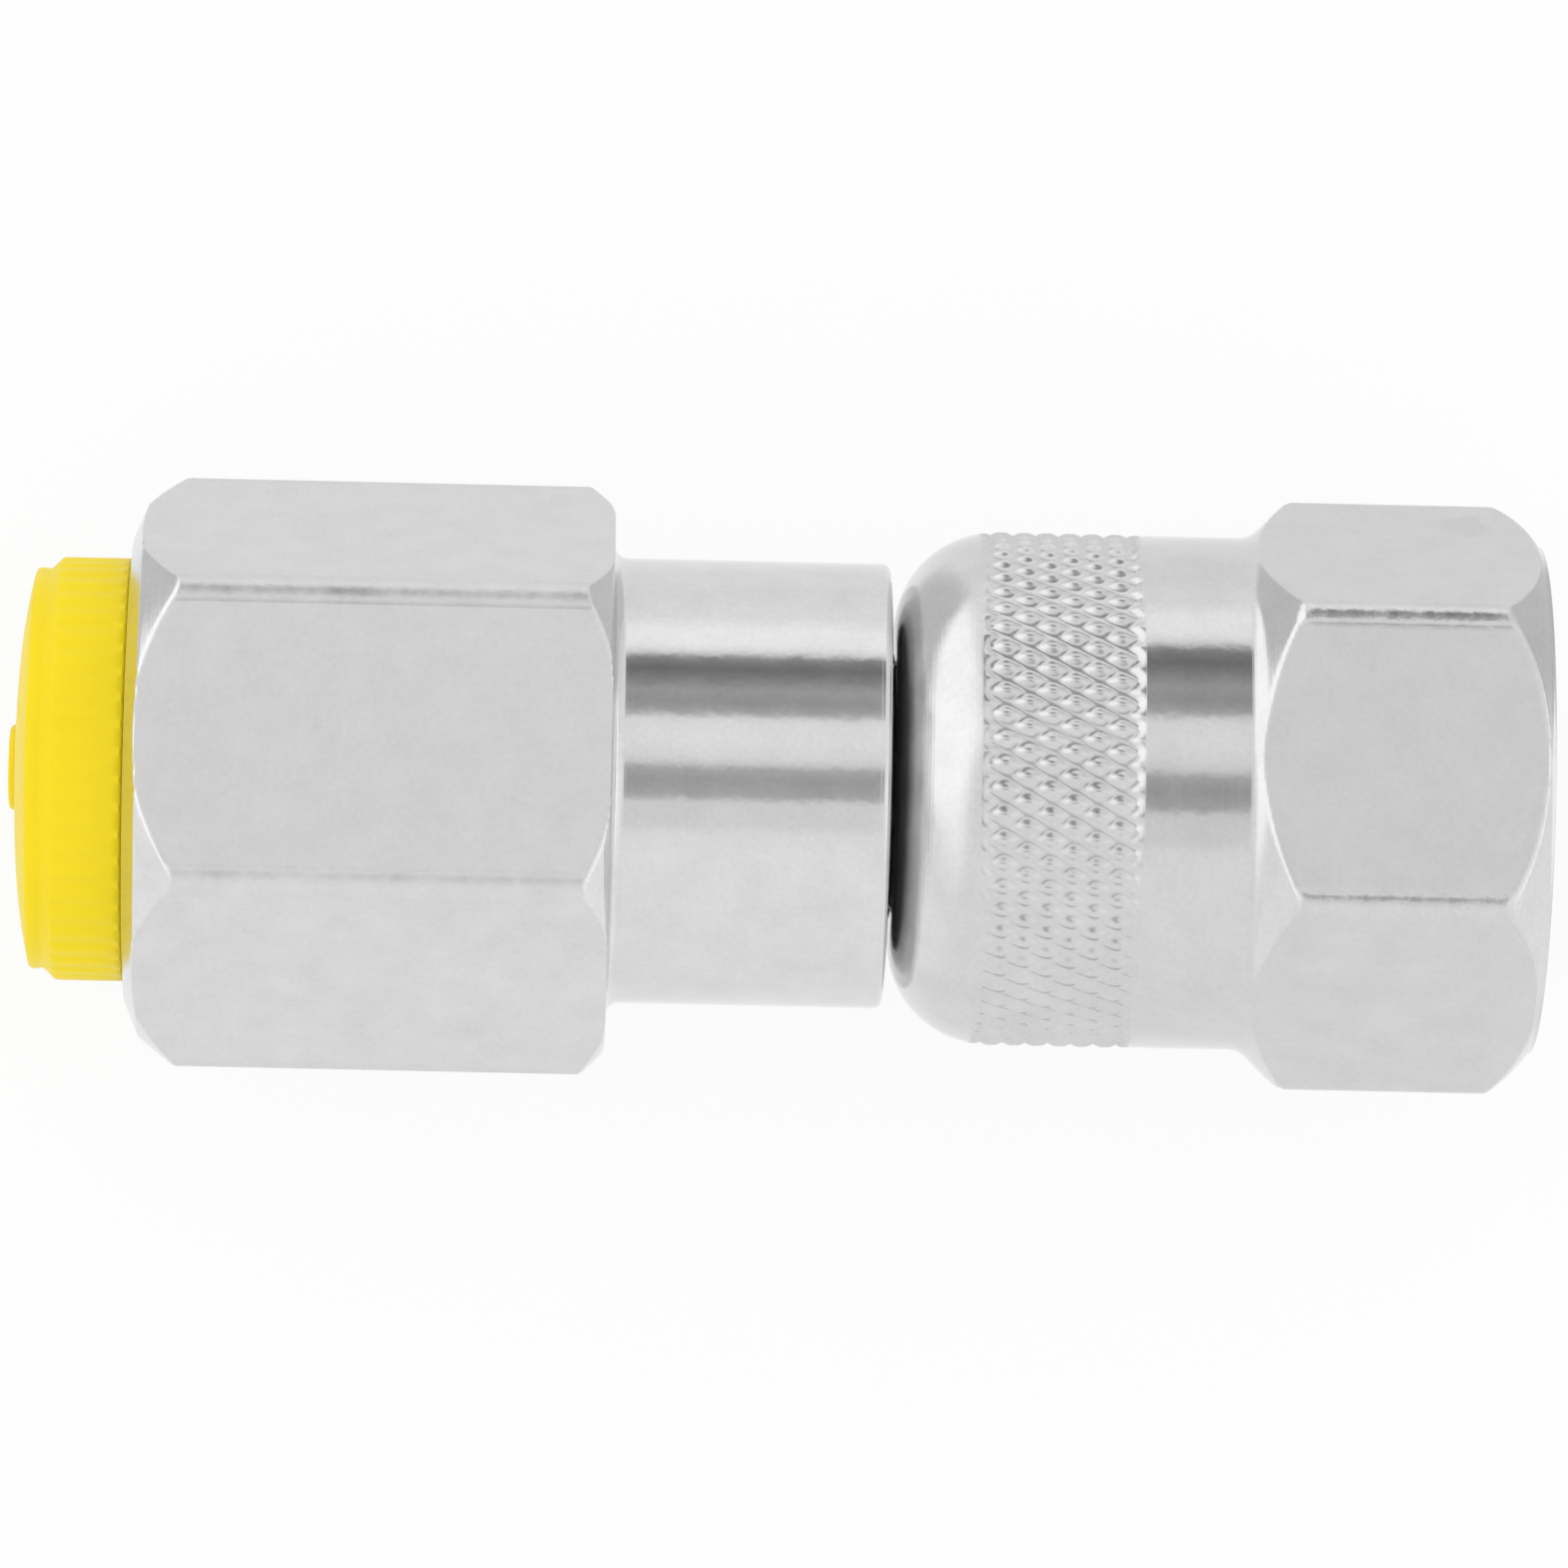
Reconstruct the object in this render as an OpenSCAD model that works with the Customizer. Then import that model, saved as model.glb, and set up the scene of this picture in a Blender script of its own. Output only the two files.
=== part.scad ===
// Hydraulic test point adapter with a gauge port, lying on its hexagon flats.
// The axis runs along X: gauge port and plug at -X, swivel nut at +X, +Z up.
// The origin is on the axis where the nut's full thread begins, at its mouth.
// Lengths are in millimetres. Profiles are lists of [x, radius], with x from the gauge port's face.

/* [Body] */
// Width across the flats of both hexagons
hex_af = 19; // [17:0.5:24]
// Rounding of the hexagon bar's corners
hex_corner_r = 0.6; // [0.2:0.1:1]
// Length of the body's hexagon
body_hex_len = 17.45; // [17:0.1:24]
// Diameter of the body's face circle at the gauge port
body_face_d = 17.9; // [17:0.1:18.4]
// How far the hexagon's corners are turned off beside the neck
body_rear_drop = 1.23; // [0.8:0.01:1.4]
// Diameter of the neck between the hexagon and the nut
neck_d = 16.2; // [12:0.1:18]
// Length of the neck
neck_len = 10.05; // [6:0.1:20]
// Fillet where the neck meets the hexagon
neck_fillet = 0.5; // [0.2:0.1:1]

/* [Gauge port] */
// Diameter over the thread's roots in the gauge port
port_d = 13.16; // [9:0.02:13.4]
// Depth of the gauge port's thread
port_depth = 13.2; // [10:0.1:14]
// Length of the runout groove behind the gauge port's thread
port_relief_len = 1.6; // [1:0.1:2.5]
// Width of the lead-in chamfer at the gauge port
port_chamfer = 0.6; // [0.3:0.1:1]
// Diameter of the passage through the body
passage_d = 2.5; // [1:0.1:4]

/* [Stem] */
// Diameter of the stem that the nut turns on
stem_d = 9; // [8:0.1:10]
// Radial running clearance between the nut and the stem
stem_clearance = 0.06; // [0.03:0.01:0.1]
// Diameter of the sealing nose
nose_d = 7.8; // [6.5:0.1:8]
// Length of the sealing nose
nose_len = 4.9; // [4.8:0.1:5.1]
// Thickness of the nose seal's cord
seal_cord_d = 1.5; // [1:0.1:1.8]
// Thickness of the backup ring
backup_t = 1; // [0.6:0.1:1.4]
// Diameter of the opening pin
pin_d = 2.8; // [2:0.1:3.4]
// How far the opening pin stands out of the nose
pin_reach = 1.1; // [0.6:0.1:1.2]

/* [Swivel nut] */
// Length of the nut
nut_len = 23.5; // [22:0.1:30]
// Gap between the neck and the nut
nut_gap = 0.2; // [0.15:0.05:0.6]
// How far the nut's cylinder lies below the hexagon's flats
nut_step = 0.17; // [0.05:0.01:0.5]
// Radius of the nut's rounded shoulder
dome_r = 3.65; // [1:0.1:4]
// Length from the nut's rear face to the end of its cylinder
nut_round_len = 12.45; // [11:0.05:15]
// Fillet where the nut's cylinder meets the cone of its hexagon
nut_cone_fillet = 0.45; // [0.2:0.05:0.8]
// How far the nut's corners are turned off at its mouth
nut_front_drop = 1.87; // [1:0.01:1.9]
// Thickness of the nut's rear wall
nut_wall_t = 3.6; // [2.5:0.1:4.5]
// Wall between the thread's roots and the nut's flats
nut_hex_wall = 1.5; // [1.4:0.1:2]
// Length of the nut's full thread
thread_len = 9.3; // [7:0.1:10]
// Width of the lead-in chamfer at the nut's mouth
thread_chamfer = 1; // [0.5:0.1:1.4]

/* [Knurl] */
// Distance from the nut's rear face to the knurl
knurl_start = 3; // [2:0.1:4]
// Width of the knurled band
knurl_len = 5.8; // [4:0.05:7]
// How far the diamonds stand above the nut's cylinder
knurl_rise = 0.055; // [0.02:0.005:0.1]
// Depth of the grooves between the diamonds
knurl_depth = 0.16; // [0.1:0.02:0.3]
// Number of diamonds around the nut
knurl_count = 64; // [32:2:72]
// Number of half steps of the pattern along the axis, an odd number
knurl_steps = 7; // [5:2:9]
// Width of a diamond's flat top as a share of the diamond
knurl_top = 0.3; // [0.2:0.05:0.7]

/* [Retaining parts] */
// Wire thickness of the retaining ring
ring_wire_d = 1.5; // [1:0.1:1.8]
// How deep the wire sits in the stem's groove, as a share of its thickness
ring_seat = 0.4; // [0.3:0.05:0.5]
// Opening angle of the split in the retaining ring
ring_gap_angle = 24; // [10:1:50]
// Thickness of the thrust washer
washer_t = 0.8; // [0.5:0.1:1.2]

/* [Gauge seal] */
// Outer diameter of the seal at the bottom of the gauge port
gauge_seal_d = 10.6; // [8:0.1:11]
// Thickness of that seal
gauge_seal_t = 1.7; // [1.4:0.1:2.2]
// Depth of the recess that holds it
gauge_recess = 1.1; // [0.6:0.1:1.3]

/* [Protective plug] */
// Diameter over the plug's grip ribs
plug_d = 15.4; // [15:0.1:17]
// Diameter of the smooth disc in front of the ribs
plug_disc_d = 14.6; // [14:0.1:15]
// Length of the plug's head to its rim
plug_head_len = 3.5; // [3:0.1:7]
// Rise of the plug's domed face over its rim
plug_dome_h = 0.58; // [0.2:0.02:1]
// Length of the ribbed stretch
plug_rib_len = 2.5; // [1.5:0.1:3]
// Number of grip ribs
plug_ribs = 48; // [24:1:60]
// Depth of the grooves between the ribs
plug_rib_depth = 0.28; // [0.15:0.01:0.4]
// Length of the plug's shank in the port
plug_shank_len = 8; // [5:0.1:8.5]
// Radial clearance between the shank and the port
plug_clearance = 0.22; // [0.15:0.01:0.4]
// Wall thickness of the hollow shank
plug_wall = 1.4; // [0.8:0.1:2]
// Diameter of the moulding boss on the plug's face
plug_boss_d = 3.1; // [1:0.05:5]
// Height of that boss
plug_boss_h = 0.26; // [0.1:0.02:0.6]

/* [Hidden] */
$fn = 96;

// Clearance where a loose piece lies in its seat
seat_gap = 0.05;
// Chamfer of small turned edges
edge = 0.3;
// How far a cutter reaches past the face that it cuts
over = 0.5;
// Steps of a rounded edge's profile
arc_steps = 6;
// How far a runout groove lies outside its thread's roots
relief_step = 0.2;

// Where the turned corner arcs start and end, in degrees, and the radius of two of them
body_face_arc = [154, 105];
body_rear_arc = [45, 15];
body_rear_round = 0.85;
nut_front_arc = [59, 34];
nut_front_round = 6.5;

// Length of the stem past the retaining ring, and of the nose past its seal groove
stem_tail = 1;
nose_tail = 1;
// Chamfer of the nose
nose_chamfer = 0.6;
// Spare length in the seal groove, and the share of the cord that the groove takes in
groove_spare = 0.2;
groove_share = 0.7;
// How deep the pin is pressed into the stem, and its clearance in the bore
pin_hold = 1;
pin_clearance = 0.01;
// How far the drill's cone at the port's bottom starts inside the seal's recess
port_land = 1.9;

hex_r = hex_af / 2 / cos(30);

// Radii and places along the body
neck_end = body_hex_len + neck_len;
port_r = port_d / 2;
port_end = port_depth + port_relief_len;
recess_end = port_end + gauge_recess;
recess_r = gauge_seal_d / 2 + seat_gap;
passage_r = passage_d / 2;
stem_r = stem_d / 2;
nose_r = nose_d / 2;

// The nut's rear face, its inner shoulder and its mouth
nut_rear = neck_end + nut_gap;
shoulder_x = nut_rear + nut_wall_t;
nut_front = nut_rear + nut_len;
thread_mouth = nut_front - thread_chamfer;
thread_end = thread_mouth - thread_len;
nut_r = hex_af / 2 - nut_step;
thread_r = hex_af / 2 - nut_hex_wall;
relief_r = thread_r + relief_step;
nut_hex_start = nut_rear + nut_round_len;

// The washer lies on the nut's inner shoulder, and the wire ring on the washer
washer_x = shoulder_x + seat_gap;
ring_r = ring_wire_d / 2;
ring_x = washer_x + washer_t + ring_r;
ring_centre_r = stem_r + ring_r - ring_seat * ring_wire_d;
stem_end = ring_x + ring_r + stem_tail;

// The sealing nose with its groove
nose_end = stem_end + nose_len;
groove_len = seal_cord_d + backup_t + 2 * seat_gap + groove_spare;
groove_x = nose_end - nose_tail - groove_len;
groove_r = nose_r - groove_share * seal_cord_d;
pin_bore_r = pin_d / 2 + pin_clearance;
pin_start = stem_end - pin_hold;

// Heights of the knurl's surface, of the channel that its band lies in, and of the band's inside
crest_r = nut_r + knurl_rise;
root_r = crest_r - knurl_depth;
knurl_sunk = 0.25;
trough_r = root_r - knurl_sunk;
hidden_r = trough_r - knurl_sunk;

function arc(cx, cr, r, from, to) =
    [for (i = [0:arc_steps])
        let (a = from + (to - from) * i / arc_steps)
        [cx + r * cos(a), cr + r * sin(a)]];

// A solid turned about the X axis from a closed list of [x, radius]
module turned(profile)
    rotate([0, 90, 0])
        rotate_extrude()
            polygon([for (p = profile) [p[1], p[0]]]);

// A round bar or hole along X
module bar(r, from, to)
    translate([from, 0, 0])
        rotate([0, 90, 0])
            cylinder(r = r, h = to - from);

// A hexagon bar along X that lies on a flat, with rounded corners
module hex_bar(from, to) {
    corner = hex_r - hex_corner_r / cos(30);
    outline = [for (k = [0:5], i = [0:4])
        let (c = 60 * k + 30, a = c + 60 * (i / 4 - 0.5))
        [corner * cos(c) + hex_corner_r * cos(a), corner * sin(c) + hex_corner_r * sin(a)]];
    translate([from, 0, 0])
        rotate([0, 90, 0])
            linear_extrude(to - from)
                polygon(outline);
}

// Everything is built from the gauge port's face and then moved to the origin
module placed()
    translate([-thread_mouth, 0, 0])
        children();

// The body: hexagon, neck, stem and sealing nose, turned from one hexagon bar

module body_outside() {
    neck_r = neck_d / 2;
    face_r = body_face_d / 2;
    face_round = (hex_r - face_r) / (sin(body_face_arc[1]) - sin(body_face_arc[0]));
    face_x = -face_round * cos(body_face_arc[0]);
    face_low = face_r - face_round * sin(body_face_arc[0]);
    face = arc(face_x, face_low, face_round, body_face_arc[0], body_face_arc[1]);
    rear_x = body_hex_len - body_rear_round * cos(body_rear_arc[1]);
    rear_r = hex_r - body_rear_drop - body_rear_round * sin(body_rear_arc[1]);
    rear = arc(rear_x, rear_r, body_rear_round, body_rear_arc[0], body_rear_arc[1]);
    intersection() {
        hex_bar(-over, nose_end + over);
        turned(concat(
            [[0, 0]],
            face,
            [[rear[0][0] - (hex_r - rear[0][1]), hex_r]],
            rear,
            arc(body_hex_len + neck_fillet, neck_r + neck_fillet, neck_fillet, 180, 270),
            [[neck_end - edge, neck_r], [neck_end, neck_r - edge], [neck_end, stem_r],
             [stem_end - edge, stem_r], [stem_end, stem_r - edge], [stem_end, nose_r],
             [nose_end - nose_chamfer, nose_r], [nose_end, nose_r - nose_chamfer], [nose_end, 0]]));
    }
}

module gauge_port_bore() {
    relief = port_r + relief_step;
    drill_r = recess_r - port_land;
    turned([[-over, 0], [-over, port_r + port_chamfer + over], [port_chamfer, port_r], [port_depth, port_r],
            [port_depth + relief_step, relief], [port_end, relief], [port_end, recess_r],
            [recess_end, recess_r], [recess_end, drill_r], [recess_end + drill_r - passage_r, passage_r],
            [pin_start, passage_r], [pin_start, 0]]);
}

module body()
    color("lightgray")
        placed()
            difference() {
                body_outside();
                gauge_port_bore();
                bar(pin_bore_r, pin_start - pin_clearance, nose_end + over);
                ring_groove();
                turned([[groove_x, groove_r], [groove_x, nose_r + over],
                        [groove_x + groove_len, nose_r + over], [groove_x + groove_len, groove_r]]);
            }

// The swivel nut: rounded shoulder, knurled band, cylinder and hexagon

module nut_outside() {
    band = [nut_rear + knurl_start, nut_rear + knurl_start + knurl_len];
    shoulder = arc(nut_rear + dome_r, nut_r - dome_r, dome_r, 180, 90);
    // The rounded shoulder stops where the knurl begins
    shoulder_cut = [for (p = shoulder) if (p[0] < band[0] - edge) p];
    meet_x = min(0, band[0] - (nut_rear + dome_r));
    meet_r = nut_r - dome_r + sqrt(dome_r * dome_r - meet_x * meet_x);
    // The cone up to the hexagon's corners starts in a fillet and ends softly
    cone = arc(nut_hex_start, nut_r + nut_cone_fillet, nut_cone_fillet, 270, 315);
    cone_top = hex_r - edge;
    cone_end = cone[arc_steps][0] + cone_top - cone[arc_steps][1];
    front_x = nut_front - nut_front_round * cos(nut_front_arc[1]);
    front_r = hex_r - nut_front_drop - nut_front_round * sin(nut_front_arc[1]);
    intersection() {
        hex_bar(nut_rear - over, nut_front + over);
        turned(concat(
            [[nut_rear, 0]],
            shoulder_cut,
            [[band[0], meet_r], [band[0], trough_r], [band[1], trough_r], [band[1], nut_r]],
            cone,
            [[cone_end, cone_top], [cone_end + 2 * edge, hex_r]],
            arc(front_x, front_r, nut_front_round, nut_front_arc[0], nut_front_arc[1]),
            [[nut_front, 0]]));
    }
}

// The diamonds of the knurl: flat-topped pyramids with V grooves between them.
// Row j of the pattern lies at half step j, and every other row is half a diamond further round.
module knurl_band() {
    n = knurl_count;
    m = knurl_steps;
    step = knurl_len / m;
    cell = 360 / n;
    x0 = nut_rear + knurl_start;
    function at(x, a, r) = [x0 + x, r * cos(a), r * sin(a)];
    function turn(j, i) = cell * (i + (j % 2) / 2);
    // Groove crossings: row j holds the side corners of its own diamonds
    crossings = [for (j = [0:m], i = [0:n - 1]) at(j * step, turn(j, i) - cell / 2, root_r)];
    // Flat tops: left, right, low and high corner of each diamond
    tops = [for (j = [0:m], i = [0:n - 1]) each [
        at(j * step, turn(j, i) - cell / 2 * knurl_top, crest_r),
        at(j * step, turn(j, i) + cell / 2 * knurl_top, crest_r),
        at(max(0, j - knurl_top) * step, turn(j, i), crest_r),
        at(min(m, j + knurl_top) * step, turn(j, i), crest_r)]];
    // Each end dips into the nut's wall, and a plain ring closes the inside
    sunk = 0.2;
    dip_r = root_r - 0.1;
    dips = [for (e = [0, 1], i = [0:n - 1]) each [
        at(e ? knurl_len + sunk : -sunk, turn(e * m, i) - cell / 2, dip_r),
        at(e ? knurl_len + sunk : -sunk, turn(e * m, i) - cell / 2 * knurl_top, dip_r),
        at(e ? knurl_len + sunk : -sunk, turn(e * m, i) + cell / 2 * knurl_top, dip_r)]];
    inner = [for (e = [0, 1], i = [0:n - 1])
        at(e ? knurl_len + sunk : -sunk, turn(e * m, i) - cell / 2, hidden_r)];
    t0 = len(crossings);
    d0 = t0 + len(tops);
    i0 = d0 + len(dips);
    function c(j, i) = j * n + (i + n) % n;
    // The crossing beside diamond i of row j, in the next or the last row
    function side(j, i, dj) = c(j + dj, j % 2 ? i + 1 : i);
    function t(j, i, k) = t0 + 4 * (j * n + i) + k;
    function d(e, i, k) = d0 + 3 * (e * n + (i + n) % n) + k;
    function s(e, i) = i0 + e * n + (i + n) % n;
    // Each face's corners run clockwise as seen from outside
    faces = concat(
        [for (j = [0:m - 1], i = [0:n - 1]) each [
            [side(j, i, 1), t(j, i, 3), t(j, i, 0), c(j, i)],
            [c(j, i + 1), t(j, i, 1), t(j, i, 3), side(j, i, 1)],
            [t(j, i, 3), t(j, i, 1), t(j, i, 0)]]],
        [for (j = [1:m], i = [0:n - 1]) each [
            [t(j, i, 0), t(j, i, 2), side(j, i, -1), c(j, i)],
            [t(j, i, 2), t(j, i, 1), c(j, i + 1), side(j, i, -1)],
            [t(j, i, 1), t(j, i, 2), t(j, i, 0)]]],
        [for (i = [0:n - 1]) each [
            [t(0, i, 0), d(0, i, 1), d(0, i, 0), c(0, i)],
            [t(0, i, 1), d(0, i, 2), d(0, i, 1), t(0, i, 0)],
            [c(0, i + 1), d(0, i + 1, 0), d(0, i, 2), t(0, i, 1)],
            [d(0, i, 1), d(0, i, 2), d(0, i + 1, 0), s(0, i + 1), s(0, i), d(0, i, 0)],
            [d(1, i, 0), d(1, i, 1), t(m, i, 0), c(m, i)],
            [d(1, i, 1), d(1, i, 2), t(m, i, 1), t(m, i, 0)],
            [d(1, i, 2), d(1, i + 1, 0), c(m, i + 1), t(m, i, 1)],
            [s(1, i), s(1, i + 1), d(1, i + 1, 0), d(1, i, 2), d(1, i, 1), d(1, i, 0)]]],
        [for (i = [0:n - 1]) each [
            [s(0, i + 1), s(1, i), s(0, i)],
            [s(1, i + 1), s(1, i), s(0, i + 1)]]]);
    polyhedron(points = concat(crossings, tops, dips, inner), faces = faces);
}

// The bore from the rear: running fit on the stem, a wide relief round the nose, then the thread
module nut_bore() {
    rear_r = stem_r + stem_clearance;
    turned([[nut_rear - over, 0], [nut_rear - over, rear_r + edge + over], [nut_rear + edge, rear_r],
            [shoulder_x, rear_r], [shoulder_x, relief_r], [thread_end, relief_r], [thread_end, thread_r],
            [thread_mouth, thread_r], [nut_front + over, thread_r + thread_chamfer + over],
            [nut_front + over, 0]]);
}

module swivel_nut()
    color("silver")
        placed()
            difference() {
                union() {
                    nut_outside();
                    knurl_band();
                }
                nut_bore();
            }

// Parts that hold the nut on the stem

module thrust_washer() {
    rim_play = 0.3;
    stem_play = 0.1;
    color("goldenrod")
        placed()
            difference() {
                bar(relief_r - rim_play, washer_x, washer_x + washer_t);
                bar(stem_r + stem_play, washer_x - over, washer_x + washer_t + over);
            }
}

// The groove for the wire is as wide as the wire and its clearance
module ring_groove() {
    sides = 12;
    half = 180 / sides;
    r = (ring_r + seat_gap) / cos(half);
    turned([for (k = [0:sides - 1])
        let (a = half * (2 * k + 1))
        [ring_x + r * cos(a), ring_centre_r + r * sin(a)]]);
}

module retaining_ring()
    color("dimgray")
        placed()
            translate([ring_x, 0, 0])
                rotate([0, 90, 0])
                    rotate([0, 0, ring_gap_angle / 2])
                        rotate_extrude(angle = 360 - ring_gap_angle)
                            translate([ring_centre_r, 0])
                                circle(ring_r);

// Seals and the opening pin on the nose

module nose_seal() {
    cord_r = seal_cord_d / 2;
    color("black")
        placed()
            translate([groove_x + groove_len - seat_gap - cord_r, 0, 0])
                rotate([0, 90, 0])
                    rotate_extrude()
                        translate([groove_r + seat_gap + cord_r, 0])
                            circle(cord_r);
}

module backup_ring() {
    from = groove_x + seat_gap;
    color("ivory")
        placed()
            difference() {
                bar(nose_r + seat_gap, from, from + backup_t);
                bar(groove_r + seat_gap, from - over, from + backup_t + over);
            }
}

// The pin opens the test point's valve. Its flat lets the oil pass along it
module opening_pin() {
    r = pin_d / 2;
    tip = nose_end + pin_reach;
    root_chamfer = 0.2;
    tip_chamfer = 0.6;
    flat_end = tip - tip_chamfer;
    flat_height = 0.6 * r;
    color("gainsboro")
        placed()
            difference() {
                turned([[pin_start, 0], [pin_start, r - root_chamfer], [pin_start + root_chamfer, r],
                        [tip - tip_chamfer, r], [tip, r - tip_chamfer], [tip, 0]]);
                for (side = [0, 180])
                    rotate([side, 0, 0])
                        translate([pin_start - over, -r, flat_height])
                            cube([flat_end - pin_start + over, 2 * r, r]);
            }
}

// The moulded ring that a gauge's end seals on at the bottom of the port
module gauge_seal() {
    r = gauge_seal_d / 2;
    lip = 1.4;
    bevel = 0.4;
    bore = passage_r + lip;
    front = recess_end - gauge_seal_t;
    color("steelblue")
        placed()
            turned([[front + bevel, bore], [front, bore + bevel], [front, r - 2 * bevel],
                    [front + bevel, r - bevel / 2], [port_end, r], [recess_end, r], [recess_end, bore]]);
}

// The screw-in plug: a ribbed head, a domed face with a moulding boss and a hollow shank

module plug_rib_ring() {
    r = plug_d / 2;
    low = r - plug_rib_depth;
    step = 360 / plug_ribs;
    // One rib: groove floor, flank and rounded top, as [share of the step, radius]
    round_drop = 0.04;
    rib = [[-0.5, low], [-0.36, low], [-0.2, r - round_drop], [0, r], [0.2, r - round_drop], [0.36, low]];
    outline = [for (i = [0:plug_ribs - 1], p = rib)
        [p[1] * cos(step * (i + p[0])), p[1] * sin(step * (i + p[0]))]];
    from = -seat_gap - plug_rib_len;
    lead = plug_rib_depth + 0.12;
    clear_r = r + 0.01;
    intersection() {
        translate([from, 0, 0])
            rotate([0, 90, 0])
                linear_extrude(plug_rib_len)
                    polygon(outline);
        turned([[from - over, 0], [from - over, r - lead - over], [from + lead, clear_r],
                [0, clear_r], [0, 0]]);
    }
}

module protective_plug() {
    disc_r = plug_disc_d / 2;
    rim_x = -seat_gap - plug_head_len;
    rim = 0.18;
    rim_round = 0.3 * rim;
    face_x = rim_x - plug_dome_h;
    shank_r = port_r - plug_clearance;
    shank_chamfer = 0.8;
    hollow_r = shank_r - plug_wall;
    dome = [for (i = [0:6]) let (t = i / 6) [face_x + plug_dome_h * pow(t, 3), (disc_r - rim) * t]];
    color("gold")
        placed()
            difference() {
                union() {
                    plug_rib_ring();
                    turned(concat(
                        dome,
                        [[rim_x + rim_round, disc_r - rim_round], [rim_x + rim, disc_r],
                         [-seat_gap - over, disc_r], [-seat_gap - over, shank_r],
                         [plug_shank_len - shank_chamfer, shank_r],
                         [plug_shank_len, shank_r - shank_chamfer], [plug_shank_len, 0]]));
                    bar(plug_boss_d / 2, face_x - plug_boss_h, face_x + over);
                }
                bar(hollow_r, rim_x + plug_wall, plug_shank_len + over);
            }
}

body();
swivel_nut();
thrust_washer();
retaining_ring();
nose_seal();
backup_ring();
opening_pin();
gauge_seal();
protective_plug();
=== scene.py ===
# Hydraulic test point adapter: plated steel body and swivel nut, with a yellow plug in the gauge port.
import math

import bpy
from mathutils import Matrix, Vector


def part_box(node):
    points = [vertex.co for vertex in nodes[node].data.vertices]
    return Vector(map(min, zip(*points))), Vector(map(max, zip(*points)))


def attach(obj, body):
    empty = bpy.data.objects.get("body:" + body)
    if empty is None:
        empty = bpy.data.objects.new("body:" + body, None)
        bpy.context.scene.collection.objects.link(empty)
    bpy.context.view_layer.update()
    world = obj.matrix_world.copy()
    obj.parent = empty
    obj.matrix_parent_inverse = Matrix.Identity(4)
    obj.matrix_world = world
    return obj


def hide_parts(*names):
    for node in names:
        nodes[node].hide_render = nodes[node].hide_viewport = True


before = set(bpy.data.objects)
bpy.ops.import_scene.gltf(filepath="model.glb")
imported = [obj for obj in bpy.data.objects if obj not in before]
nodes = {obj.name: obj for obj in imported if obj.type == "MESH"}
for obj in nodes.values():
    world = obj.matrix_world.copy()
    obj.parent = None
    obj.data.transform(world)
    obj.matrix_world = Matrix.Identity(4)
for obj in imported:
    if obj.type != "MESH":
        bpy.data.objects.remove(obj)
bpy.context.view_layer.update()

MM = 0.001

# Places along the axis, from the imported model
PORT_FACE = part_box("body")[0].x
NOSE_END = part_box("body")[1].x
NUT_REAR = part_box("swivel_nut")[0].x
NUT_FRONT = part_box("swivel_nut")[1].x
FLAT_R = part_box("body")[1].z
FLOOR_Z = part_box("body")[0].z

# Sizes in millimetres. Most are the solids' own. Roundings, knurl and ribs are as fine as the photograph's
CORNER_R = FLAT_R / MM / math.cos(math.pi / 6)
HEX_CORNER_R = 1.0
BODY_HEX_LEN = 17.45
BODY_FACE_R = 8.5
# Place and radius where the steep cone at the port meets the flat one, and where that one ends
BODY_BEND = (0.48, 9.68)
BODY_CONE_LEN = 2.0
BODY_REAR_DROP = 1.23
BODY_REAR_ROUND = 0.85
# Degrees between which the rounding beside the neck runs
BODY_REAR_ARC = (45, 15)
NECK_R = 8.1
NECK_LEN = 10.05
NECK_FILLET = 0.5
PORT_R = 6.58
PORT_DEPTH = 13.2
PORT_RELIEF_END = 14.8
SEAL_SEAT_R = 5.35
SEAL_SEAT_END = 15.9
PASSAGE_R = 1.25
STEM_R = 4.5
STEM_LEN = 7.15
NOSE_R = 3.9
PIN_BORE_R = 1.41
RING_AT = 5.4
RING_GROOVE_R = 0.8
# The seal groove's two ends, from the stem's start, and the radius of its floor
SEAL_GROOVE = (8.25, 11.05, 2.85)
NUT_CYL_R = 9.33
DOME_R = 3.65
NUT_ROUND_LEN = 12.45
NUT_CONE_FILLET = 1.0
NUT_FRONT_DROP = 1.87
NUT_FRONT_ROUND = 6.5
# Degrees between which that rounding runs, and at which it would meet the face
NUT_FRONT_ARC = (58.5, 36)
NUT_FRONT_MEETS = 34
NUT_WALL = 3.6
NUT_BORE_R = 4.56
RELIEF_R = 8.2
THREAD_R = 8.0
THREAD_LEN = 9.3
THREAD_CHAMFER = 1.0
NUT_PITCH = 2.0
GAUGE_PITCH = 1.337
KNURL_START = 3.0
KNURL_LEN = 5.8
KNURL_RISE = 0.02
KNURL_DEPTH = 0.19
KNURL_COUNT = 64
KNURL_HALF_STEPS = 7
# Width of a top as a share of its diamond, and the second grooves' depth as a share of the first's
KNURL_TOP = 0.12
KNURL_SECOND = 0.75
# Way over which the grooves run out at each end of the band
KNURL_FADE = 0.3
# How far the band is from turned at 0 to satin at 1
KNURL_DULL = 0.7
PLUG_R = 7.7
PLUG_DISC_R = 7.3
PLUG_RIM_X = -3.55
PLUG_DOME = 0.58
PLUG_RIB_LEN = 2.95
PLUG_RIBS = 48
PLUG_RIB_DEPTH = 0.09
# Width of a groove between two ribs, as a share of their spacing
PLUG_GROOVE_SHARE = 0.85
PLUG_RIM_ROUND = 0.18
PLUG_CORE_R = 5.55
PLUG_SHANK_LEN = 8.0
PLUG_SEAT_GAP = 0.05
PLUG_BOSS_R = 1.55
PLUG_BOSS_H = 0.26

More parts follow.
